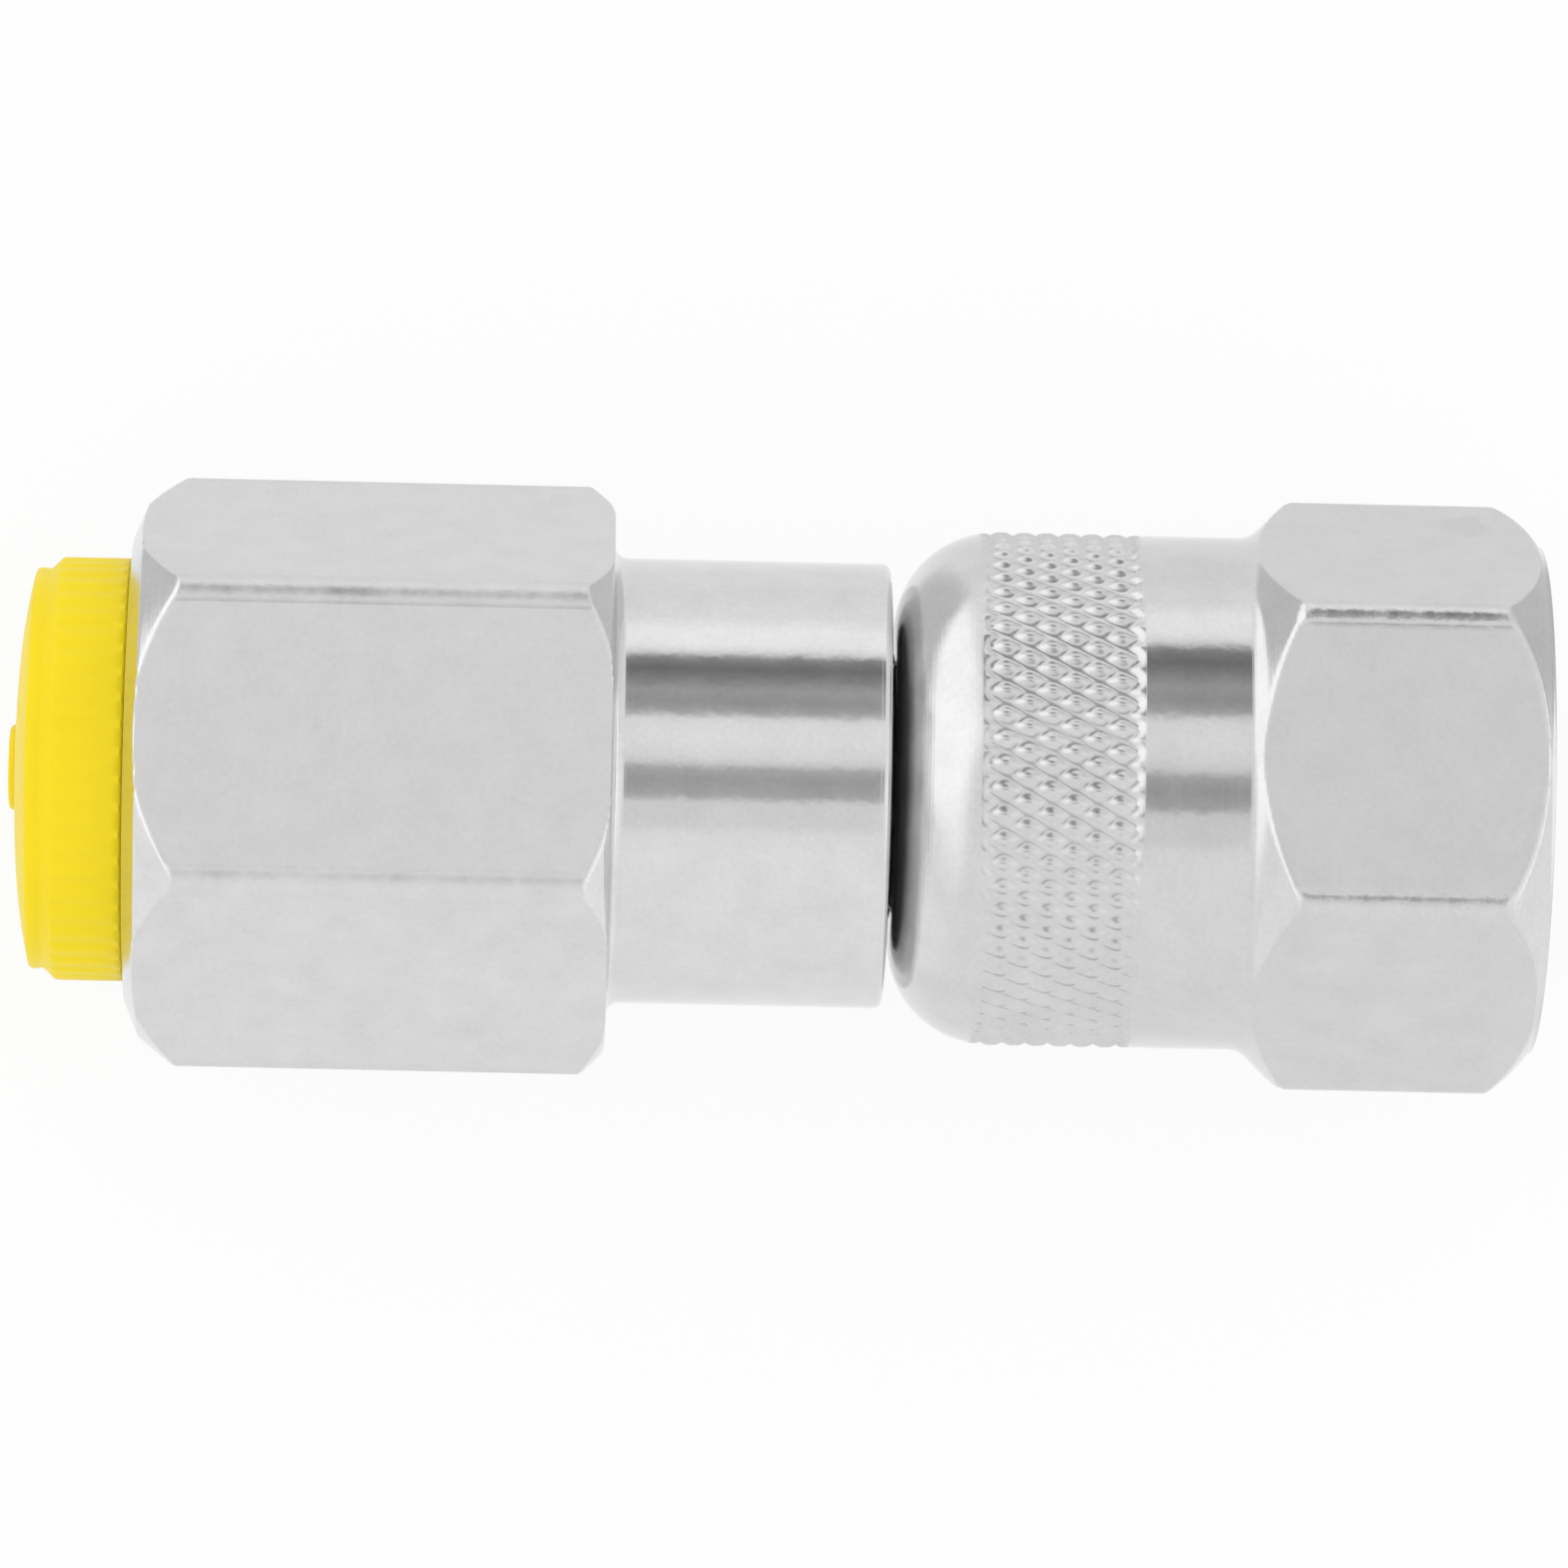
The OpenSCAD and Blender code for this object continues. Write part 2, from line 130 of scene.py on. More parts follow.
# Columns round the axis. The knurl needs a dozen to each diamond
BODY_COLUMNS = 720
KNURL_CELL = 12
NUT_COLUMNS = KNURL_COUNT * KNURL_CELL
RIB_COLUMNS = 10
THREAD_COLUMNS = 72
# Way over which a turned surface blends into a flat
EDGE_BLEND = 0.08


# Camera: the photograph looks down on the adapter from slightly in front, through a long lens

PIXELS_PER_MM = 27.45
PHOTO_WIDTH = 1569
VIEW_ELEVATION = 81.6
VIEW_DISTANCE = 411.7 * MM
VIEW_ROLL = 1.25
SENSOR_WIDTH = 36
# Places in millimetres from the port's face: under the lens, and at the picture's centre
UNDER_LENS = 15.23
PICTURE_CENTRE = 23.8


def add_camera():
    tilt = math.radians(VIEW_ELEVATION)
    towards = Vector((0, -math.cos(tilt), math.sin(tilt)))
    spot = Vector((PORT_FACE + UNDER_LENS * MM, 0, 0)) + towards * VIEW_DISTANCE
    aim = Vector((PORT_FACE + PICTURE_CENTRE * MM, 0, 0))
    back = (spot - aim).normalized()
    right = (Vector((1, 0, 0)) - back * back.x).normalized()
    up = back.cross(right)
    roll = math.radians(VIEW_ROLL)
    right, up = (right * math.cos(roll) + up * math.sin(roll), up * math.cos(roll) - right * math.sin(roll))
    data = bpy.data.cameras.new("camera")
    camera = bpy.data.objects.new("camera", data)
    bpy.context.scene.collection.objects.link(camera)
    turn = Matrix((right, up, back)).transposed().to_4x4()
    camera.matrix_world = Matrix.Translation(spot) @ turn
    data.sensor_width = SENSOR_WIDTH
    data.lens = SENSOR_WIDTH * (VIEW_DISTANCE / MM) / (PHOTO_WIDTH / PIXELS_PER_MM)
    data.clip_start = 0.01
    data.clip_end = 20
    bpy.context.scene.camera = camera


add_camera()
bpy.context.scene.view_settings.view_transform = "Standard"


# Node helpers

def link(tree, source, target):
    tree.links.new(source, target)


def math_node(tree, operation, a, b=None, clamp=False):
    n = tree.nodes.new("ShaderNodeMath")
    n.operation = operation
    n.use_clamp = clamp
    for socket, value in zip(n.inputs, (a, b)):
        if value is None:
            continue
        if isinstance(value, (int, float)):
            socket.default_value = value
        else:
            link(tree, value, socket)
    return n.outputs[0]


def plus(tree, a, b):
    return math_node(tree, "ADD", a, b)


def minus(tree, a, b):
    return math_node(tree, "SUBTRACT", a, b)


def times(tree, a, b):
    return math_node(tree, "MULTIPLY", a, b)


def smooth_step(tree, value, start, stop):
    n = tree.nodes.new("ShaderNodeMapRange")
    n.interpolation_type = "SMOOTHSTEP"
    n.inputs["From Min"].default_value = start
    n.inputs["From Max"].default_value = stop
    link(tree, value, n.inputs["Value"])
    return n.outputs["Result"]


def blend(tree, factor, a, b):
    """Mixes from a to b, each of them a grey level, a colour or another node's output."""
    n = tree.nodes.new("ShaderNodeMix")
    n.data_type = "RGBA"
    link(tree, factor, n.inputs["Factor"])
    for socket, value in ((n.inputs["A"], a), (n.inputs["B"], b)):
        if isinstance(value, float):
            socket.default_value = (value, value, value, 1)
        elif isinstance(value, tuple):
            socket.default_value = (*value, 1)
        else:
            link(tree, value, socket)
    return n.outputs["Result"]


def attribute_node(tree, name):
    n = tree.nodes.new("ShaderNodeAttribute")
    n.attribute_name = name
    return n.outputs["Fac"]


def noise_node(tree, vector, scale, detail, rough=0.5):
    n = tree.nodes.new("ShaderNodeTexNoise")
    n.inputs["Scale"].default_value = scale
    n.inputs["Detail"].default_value = detail
    n.inputs["Roughness"].default_value = rough
    link(tree, vector, n.inputs["Vector"])
    return n.outputs["Fac"]


def ramp_node(tree, value, stops):
    n = tree.nodes.new("ShaderNodeValToRGB")
    ramp = n.color_ramp
    while len(ramp.elements) < len(stops):
        ramp.elements.new(0.5)
    for element, (place, level) in zip(ramp.elements, stops):
        element.position = place
        element.color = (level, level, level, 1) if isinstance(level, (int, float)) else (*level, 1)
    link(tree, value, n.inputs["Fac"])
    return n.outputs["Color"]


def new_group(name, inputs, outputs):
    group = bpy.data.node_groups.new(name, "ShaderNodeTree")
    for title, kind, value in inputs:
        socket = group.interface.new_socket(title, in_out="INPUT", socket_type=kind)
        if value is not None:
            socket.default_value = value
    for title, kind in outputs:
        group.interface.new_socket(title, in_out="OUTPUT", socket_type=kind)
    start = group.nodes.new("NodeGroupInput")
    end = group.nodes.new("NodeGroupOutput")
    return group, start, end


def place_group(tree, group, values):
    n = tree.nodes.new("ShaderNodeGroup")
    n.node_tree = group
    for title, value in values.items():
        n.inputs[title].default_value = value
    return n


# Fine lines that a lathe leaves: rings round the X axis on cylinders and cones, and circles on faces

def make_turning_group():
    group, start, end = new_group(
        "turning_lines",
        [("Lines", "NodeSocketFloat", 9000.0), ("Waviness", "NodeSocketFloat", 0.2)],
        [("Height", "NodeSocketFloat")])
    coords = group.nodes.new("ShaderNodeTexCoord")
    parts = group.nodes.new("ShaderNodeSeparateXYZ")
    link(group, coords.outputs["Object"], parts.inputs[0])
    y2 = times(group, parts.outputs["Y"], parts.outputs["Y"])
    z2 = times(group, parts.outputs["Z"], parts.outputs["Z"])
    radius = math_node(group, "SQRT", plus(group, y2, z2))
    along = plus(group, parts.outputs["X"], radius)
    line = group.nodes.new("ShaderNodeTexNoise")
    line.noise_dimensions = "1D"
    line.inputs["Scale"].default_value = 1.0
    line.inputs["Detail"].default_value = 3.0
    line.inputs["Roughness"].default_value = 0.7
    link(group, times(group, along, start.outputs["Lines"]), line.inputs["W"])
    patches = noise_node(group, coords.outputs["Object"], 900, 3)
    wavy = times(group, patches, start.outputs["Waviness"])
    link(group, plus(group, line.outputs["Fac"], wavy), end.inputs["Height"])
    return group


# Cloudy plating: broad clouds, small blotches, fine specks, nicks and the slow wander of the surface

def make_plating_group():
    group, start, end = new_group(
        "plating_clouds",
        [("Clouds", "NodeSocketFloat", 120.0), ("Specks", "NodeSocketFloat", 5000.0)],
        [("Cloud", "NodeSocketFloat"), ("Blotch", "NodeSocketFloat"), ("Speck", "NodeSocketFloat"),
         ("Nick", "NodeSocketFloat"), ("Wander", "NodeSocketFloat")])
    coords = group.nodes.new("ShaderNodeTexCoord")
    for target, title, factor, detail in (
            ("Cloud", "Clouds", 1.0, 3), ("Blotch", "Clouds", 6.0, 4), ("Speck", "Specks", 1.0, 2),
            ("Nick", "Specks", 0.35, 3), ("Wander", "Clouds", 9.0, 2)):
        n = group.nodes.new("ShaderNodeTexNoise")
        n.inputs["Detail"].default_value = detail
        link(group, coords.outputs["Object"], n.inputs["Vector"])
        link(group, times(group, start.outputs[title], factor), n.inputs["Scale"])
        link(group, n.outputs["Fac"], end.inputs[target])
    return group


# A finger mark: 1 inside an irregular patch round a place on the surface, and 0 away from it

def make_finger_mark_group():
    group, start, end = new_group(
        "finger_mark",
        [("Place", "NodeSocketVector", None), ("Size", "NodeSocketFloat", 0.001)],
        [("Mask", "NodeSocketFloat")])
    coords = group.nodes.new("ShaderNodeTexCoord")
    away = group.nodes.new("ShaderNodeVectorMath")
    away.operation = "DISTANCE"
    link(group, coords.outputs["Object"], away.inputs[0])
    link(group, start.outputs["Place"], away.inputs[1])
    ragged = times(group, noise_node(group, coords.outputs["Object"], 1400, 4, 0.6), 2.0)
    reach = times(group, start.outputs["Size"], ragged)
    share = math_node(group, "DIVIDE", away.outputs["Value"], reach)
    link(group, smooth_step(group, share, 1.2, 0.7), end.inputs["Mask"])
    return group


TURNING = make_turning_group()
PLATING = make_plating_group()
FINGER_MARK = make_finger_mark_group()

SATIN_ROUGH = 0.29
FINGER_MARK_SIZE = 0.0009
LINE_DEPTH = 0.00002
GRAIN_DEPTH = 0.00003


def new_material(name):
    material = bpy.data.materials.new(name)
    material.use_nodes = True
    tree = material.node_tree
    return material, tree, tree.nodes["Principled BSDF"]


def bump(tree, shader, height, strength, distance):
    n = tree.nodes.new("ShaderNodeBump")
    n.inputs["Strength"].default_value = strength
    n.inputs["Distance"].default_value = distance
    link(tree, height, n.inputs["Height"])
    link(tree, n.outputs["Normal"], shader.inputs["Normal"])


# Bright plated steel. Where the piece's flats attribute is 1 it is satin, and where its corners attribute
# is 1 it is worn and nicked. Elsewhere it is turned and brighter

def plated_steel(name, pale, dark, turned_rough, corner_rough, finger_mark):
    material, tree, shader = new_material(name)
    # The clear film over the zinc scatters a little of the light
    shader.inputs["Metallic"].default_value = 0.93
    flats = attribute_node(tree, "flats")
    corners = attribute_node(tree, "corners")
    clouds = place_group(tree, PLATING, {"Clouds": 110.0, "Specks": 5200.0}).outputs
    lines = place_group(tree, TURNING, {"Lines": 9000.0, "Waviness": 0.3}).outputs

    tone = plus(tree, times(tree, clouds["Blotch"], 0.6), times(tree, clouds["Speck"], 0.4))
    tone = ramp_node(tree, tone, [(0.3, 0.0), (0.7, 1.0)])
    if finger_mark:
        spot = place_group(tree, FINGER_MARK, {"Place": finger_mark, "Size": FINGER_MARK_SIZE}).outputs
        tone = minus(tree, tone, times(tree, spot["Mask"], 0.9))
    link(tree, blend(tree, tone, dark, pale), shader.inputs["Base Color"])

    spread = times(tree, minus(tree, clouds["Blotch"], 0.5), 0.14)
    satin = times(tree, flats, SATIN_ROUGH - turned_rough)
    nicked = plus(tree, times(tree, clouds["Nick"], 0.3), corner_rough - 0.15)
    worn = times(tree, corners, minus(tree, nicked, turned_rough))
    rough = plus(tree, plus(tree, satin, turned_rough), plus(tree, spread, worn))
    link(tree, rough, shader.inputs["Roughness"])

    turned = math_node(tree, "SUBTRACT", minus(tree, 1.0, flats), corners, clamp=True)
    grooves = times(tree, lines["Height"], turned)
    grain = times(tree, clouds["Speck"], 0.12)
    nicks = times(tree, times(tree, clouds["Nick"], corners), 9.0)
    # The turned surface is not quite straight, which makes the edges of its reflections wander
    waves = plus(tree, times(tree, clouds["Wander"], 1.6), times(tree, clouds["Nick"], 0.7))
    wander = times(tree, waves, turned)
    height = plus(tree, plus(tree, grooves, grain), plus(tree, nicks, wander))
    bump(tree, shader, height, 0.22, LINE_DEPTH)
    return material


def turned_metal(name, colour, rough):
    material, tree, shader = new_material(name)
    shader.inputs["Metallic"].default_value = 1.0
    clouds = place_group(tree, PLATING, {"Clouds": 300.0, "Specks": 6000.0}).outputs
    lines = place_group(tree, TURNING, {"Lines": 16000.0, "Waviness": 0.1}).outputs
    dark = tuple(c * 0.85 for c in colour)
    link(tree, blend(tree, clouds["Blotch"], dark, colour), shader.inputs["Base Color"])
    link(tree, plus(tree, times(tree, clouds["Cloud"], 0.1), rough), shader.inputs["Roughness"])
    bump(tree, shader, lines["Height"], 0.3, LINE_DEPTH)
    return material


def moulded(name, colour, rough, grain):
    material, tree, shader = new_material(name)
    clouds = place_group(tree, PLATING, {"Clouds": 200.0, "Specks": 4000.0}).outputs
    dark = tuple(c * 0.9 for c in colour)
    link(tree, blend(tree, clouds["Cloud"], dark, colour), shader.inputs["Base Color"])
    link(tree, plus(tree, times(tree, clouds["Blotch"], 0.12), rough - 0.06), shader.inputs["Roughness"])
    bump(tree, shader, clouds["Speck"], grain, GRAIN_DEPTH)
    return material


BODY_STEEL = plated_steel("plated_steel_body", (0.73, 0.73, 0.725), (0.65, 0.65, 0.65), 0.09, 0.4, None)
NUT_STEEL = plated_steel("plated_steel_nut", (0.685, 0.685, 0.68), (0.61, 0.61, 0.61), 0.1, 0.24,
                         (NUT_FRONT - 0.0027, 0.00975, 0.0021))
YELLOW = moulded("yellow_plastic", (0.93, 0.72, 0.008), 0.42, 0.15)
yellow_inputs = YELLOW.node_tree.nodes["Principled BSDF"].inputs
yellow_inputs["Specular IOR Level"].default_value = 0.22
yellow_inputs["Subsurface Weight"].default_value = 0.15
yellow_inputs["Subsurface Radius"].default_value = (0.0012, 0.0009, 0.0003)


# Modelling helpers

def deselect_all():
    bpy.ops.object.select_all(action="DESELECT")


def hex_radius(angle):
    """Radius in mm of the rounded hexagon in a direction from +Z, and how much it is flat there."""
    flat = FLAT_R / MM
    turn = abs((angle + math.pi / 6) % (math.pi / 3) - math.pi / 6)
    centre = (flat - HEX_CORNER_R) / math.cos(math.pi / 6)
    edge = math.atan2((flat - HEX_CORNER_R) * math.tan(math.pi / 6), flat)
    if turn <= edge:
        return flat / math.cos(turn), min((edge - turn) / math.radians(0.8), 1)
    off = math.pi / 6 - turn
    return centre * math.cos(off) + math.sqrt(HEX_CORNER_R ** 2 - (centre * math.sin(off)) ** 2), 0


def soft_min(a, b, width):
    h = max(width - abs(a - b), 0) / width
    return min(a, b) - h * h * width / 4


def arc(x, r, radius, start, stop, steps):
    """Points of [x, radius] on an arc round a centre, angles in degrees."""
    angles = [math.radians(start + (stop - start) * i / steps) for i in range(steps + 1)]
    return [(x + radius * math.cos(a), r + radius * math.sin(a)) for a in angles]


def stretch(start, stop, steps):
    """Points between two points, both ends included."""
    return [(start[0] + (stop[0] - start[0]) * i / steps, start[1] + (stop[1] - start[1]) * i / steps)
            for i in range(steps + 1)]


def spun(name, outline, columns, origin):
    """A solid turned from a closed outline of (x, radius) in mm, x measured from origin."""
    deselect_all()
    bpy.ops.mesh.primitive_circle_add(vertices=len(outline), radius=MM)
    obj = bpy.context.active_object
    obj.name = obj.data.name = name
    for vertex, (x, r) in zip(obj.data.vertices, outline):
        vertex.co = (origin + x * MM, 0, max(r, 0) * MM)
    bpy.ops.object.mode_set(mode="EDIT")
    bpy.ops.mesh.select_all(action="SELECT")
    bpy.ops.mesh.spin(steps=columns, angle=2 * math.pi, center=(0, 0, 0), axis=(1, 0, 0))
    bpy.ops.mesh.select_all(action="SELECT")
    bpy.ops.mesh.remove_doubles(threshold=0.000002)
    bpy.ops.mesh.normals_make_consistent(inside=False)
    bpy.ops.object.mode_set(mode="OBJECT")
    return obj


def finish_piece(obj, body, material, angle=32):
    obj.data.materials.clear()
    obj.data.materials.append(material)
    deselect_all()
    obj.select_set(True)
    bpy.context.view_layer.objects.active = obj
    bpy.ops.object.shade_smooth_by_angle(angle=math.radians(angle))
    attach(obj, body)


def mark(obj, name, values):
    attribute = obj.data.attributes.new(name, "FLOAT", "POINT")
    attribute.data.foreach_set("value", values)


def mark_turned(obj):
    """Marks a piece as turned all over, with no flats and no worn corners."""
    for name in ("flats", "corners"):
        mark(obj, name, [0.0] * len(obj.data.vertices))


def radius_of(vertex):
    return math.hypot(vertex.co.y, vertex.co.z) / MM


def turns_of(vertex):
    """Share of a full turn from +Z, between -0.5 and 0.5."""
    return math.atan2(vertex.co.y, vertex.co.z) / (2 * math.pi)


def scale_radius(vertex, share):
    vertex.co.y *= share
    vertex.co.z *= share


def press_flats(obj, origin, hex_from, hex_to, least_r):
    """Moves the outer surface between two places in onto the hexagon, and marks its flats and corners."""
    values = []
    corners = []
    for vertex in obj.data.vertices:
        x = (vertex.co.x - origin) / MM
        r = radius_of(vertex)
        share = worn = 0.0
        if hex_from - 1e-4 <= x <= hex_to + 1e-4 and r > least_r:
            limit, level = hex_radius(math.atan2(vertex.co.y, vertex.co.z))
            pressed = soft_min(r, limit, EDGE_BLEND)
            pushed = min(max((r - limit) / EDGE_BLEND + 0.5, 0), 1)
            share = pushed * level
            worn = pushed * (1 - level)
            scale_radius(vertex, pressed / r)
        values.append(share)
        corners.append(worn)
    mark(obj, "flats", values)
    mark(obj, "corners", corners)


def thread_ridge(name, origin, wall_r, crest_r, base, crest, pitch, start, turns):
    """A screw thread's ridge, swept as a trapezoid along its helix from start mm past origin. It is base wide
    at wall_r and crest wide at crest_r."""
    deselect_all()
    bpy.ops.mesh.primitive_plane_add(size=MM)
    obj = bpy.context.active_object
    obj.name = obj.data.name = name
    section = [(-base / 2, wall_r), (base / 2, wall_r), (crest / 2, crest_r), (-crest / 2, crest_r)]
    # A plane's corners run left, right, left, right
    for vertex, (x, r) in zip(obj.data.vertices, (section[0], section[1], section[3], section[2])):
        vertex.co = (origin + (start + x) * MM, 0, r * MM)
    screw = obj.modifiers.new("thread", "SCREW")
    screw.axis = "X"
    screw.angle = 2 * math.pi * turns
    screw.screw_offset = pitch * turns * MM
    screw.steps = int(THREAD_COLUMNS * turns)
    screw.render_steps = screw.steps
    screw.use_merge_vertices = False
    bpy.ops.object.modifier_apply(modifier="thread")
    bpy.ops.object.mode_set(mode="EDIT")
    bpy.ops.mesh.select_mode(type="VERT")
    bpy.ops.mesh.select_all(action="SELECT")
    bpy.ops.mesh.remove_doubles(threshold=0.000001)
    bpy.ops.mesh.select_all(action="DESELECT")
    bpy.ops.mesh.select_non_manifold()
    bpy.ops.mesh.fill_holes(sides=0)
    bpy.ops.mesh.select_all(action="SELECT")
    bpy.ops.mesh.normals_make_consistent(inside=False)
    bpy.ops.object.mode_set(mode="OBJECT")
    return obj


# The body: hexagon, neck, stem and nose

def make_body():
    hex_end = BODY_HEX_LEN
    neck_end = hex_end + NECK_LEN
    stem_end = neck_end + STEM_LEN
    nose_end = (NOSE_END - PORT_FACE) / MM
    groove_from, groove_to = neck_end + SEAL_GROOVE[0], neck_end + SEAL_GROOVE[1]
    groove_r = SEAL_GROOVE[2]
    ring_x = neck_end + RING_AT
    # The corners are turned off along two cones at the port, and along a cone with a round at the neck
    bend_x, bend_r = BODY_BEND
    cone_top = (BODY_CONE_LEN, CORNER_R - 0.03)
    rear_angle = math.radians(BODY_REAR_ARC[1])
    rear_x = hex_end - BODY_REAR_ROUND * math.cos(rear_angle)
    rear_r = CORNER_R - BODY_REAR_DROP - BODY_REAR_ROUND * math.sin(rear_angle)
    rear = arc(rear_x, rear_r, BODY_REAR_ROUND, *BODY_REAR_ARC, 4)
    outline = [(0.6, PORT_R), (0.08, PORT_R + 0.52), (0.0, PORT_R + 0.64), (0.0, 7.9)]
    outline += [(0.0, BODY_FACE_R - 0.06)] + stretch((0.0, BODY_FACE_R), BODY_BEND, 12)[:-1]
    outline += [(bend_x + 0.02, bend_r + 0.035)] + stretch((bend_x + 0.08, bend_r + 0.09), cone_top, 20)
    outline += [(BODY_CONE_LEN + 0.15, CORNER_R)] + stretch((3.0, CORNER_R), (hex_end - 1.9, CORNER_R), 2)
    outline += stretch((rear[0][0] - CORNER_R + rear[0][1], CORNER_R), rear[0], 12)[:-1]
    outline += rear + [(hex_end, CORNER_R - BODY_REAR_DROP - 0.5)]
    outline += arc(hex_end + NECK_FILLET, NECK_R + NECK_FILLET, NECK_FILLET, 180, 270, 7)
    outline += [(hex_end + 1.0, NECK_R), (neck_end - 0.7, NECK_R)]
    outline += arc(neck_end - 0.3, NECK_R - 0.3, 0.3, 90, 0, 5)
    outline += [(neck_end, STEM_R + 0.2), (neck_end + 0.2, STEM_R)]
    dip = math.degrees(math.asin(0.15 / RING_GROOVE_R))
    outline += arc(ring_x, STEM_R + 0.15, RING_GROOVE_R, 180 + dip, 360 - dip, 10)
    outline += [(stem_end - 0.3, STEM_R), (stem_end, STEM_R - 0.3), (stem_end, NOSE_R)]
    outline += [(groove_from - 0.1, NOSE_R), (groove_from, NOSE_R - 0.1), (groove_from, groove_r)]
    outline += [(groove_to, groove_r), (groove_to, NOSE_R - 0.1), (groove_to + 0.1, NOSE_R)]
    outline += [(nose_end - 0.6, NOSE_R)]
    outline += [(nose_end, NOSE_R - 0.5), (nose_end, PIN_BORE_R), (stem_end - 1, PIN_BORE_R)]
    outline += [(stem_end - 1, PASSAGE_R), (SEAL_SEAT_END + 2.2, PASSAGE_R)]
    outline += [(SEAL_SEAT_END, 3.45), (SEAL_SEAT_END, SEAL_SEAT_R), (PORT_RELIEF_END, SEAL_SEAT_R)]
    outline += [(PORT_RELIEF_END, PORT_R + 0.2), (PORT_DEPTH + 0.2, PORT_R + 0.2), (PORT_DEPTH, PORT_R)]
    body = spun("body_shell", outline, BODY_COLUMNS, PORT_FACE)
    press_flats(body, PORT_FACE, 0.04, hex_end, NECK_R + 1.0)
    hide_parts("body")
    finish_piece(body, "adapter_body", BODY_STEEL)
    ridge = thread_ridge("gauge_port_thread", PORT_FACE, wall_r=PORT_R + 0.03, crest_r=5.72, base=1.22,
                         crest=0.2, pitch=GAUGE_PITCH, start=1.0, turns=8.75)
    mark_turned(ridge)
    finish_piece(ridge, "adapter_body", BODY_STEEL)


# The swivel nut

def dome_radius(x):
    """Radius of the nut's outside at x mm from its rear end, over the dome and the cylinder after it."""
    return NUT_CYL_R - DOME_R + math.sqrt(DOME_R ** 2 - max(DOME_R - x, 0) ** 2)


def knurl_height(u, v):
    """Share of the full height, from the grooves at 0 to the small tops at 1, u and v counting diamonds.
    The grooves of the second family are shallower."""
    first, second = [0.5 - 0.5 * math.cos(math.pi * min(abs(turn % 1 - 0.5) / (0.5 * (1 - KNURL_TOP)), 1))
                     for turn in (u + v, u - v)]
    return first * (1 - KNURL_SECOND * (1 - second))


def cut_knurl(nut):
    """Presses the grooves into the band, whose rows and columns lie on the diamonds' own grid."""
    period = 2 * KNURL_LEN / KNURL_HALF_STEPS
    for vertex in nut.data.vertices:
        x = (vertex.co.x - NUT_REAR) / MM - KNURL_START
        r = radius_of(vertex)
        if -0.001 < x < KNURL_LEN + 0.001 and r > NUT_CYL_R + KNURL_RISE / 2:
            turn = turns_of(vertex) * KNURL_COUNT
            low = KNURL_DEPTH * (1 - knurl_height(round(turn * KNURL_CELL) / KNURL_CELL, x / period))
            # The roll ran out over a short way at both ends of the band
            fade = min(max(min(x, KNURL_LEN - x) / KNURL_FADE, 0), 1)
            high = dome_radius(x + KNURL_START) + (KNURL_RISE - low) * fade
            scale_radius(vertex, high / r)


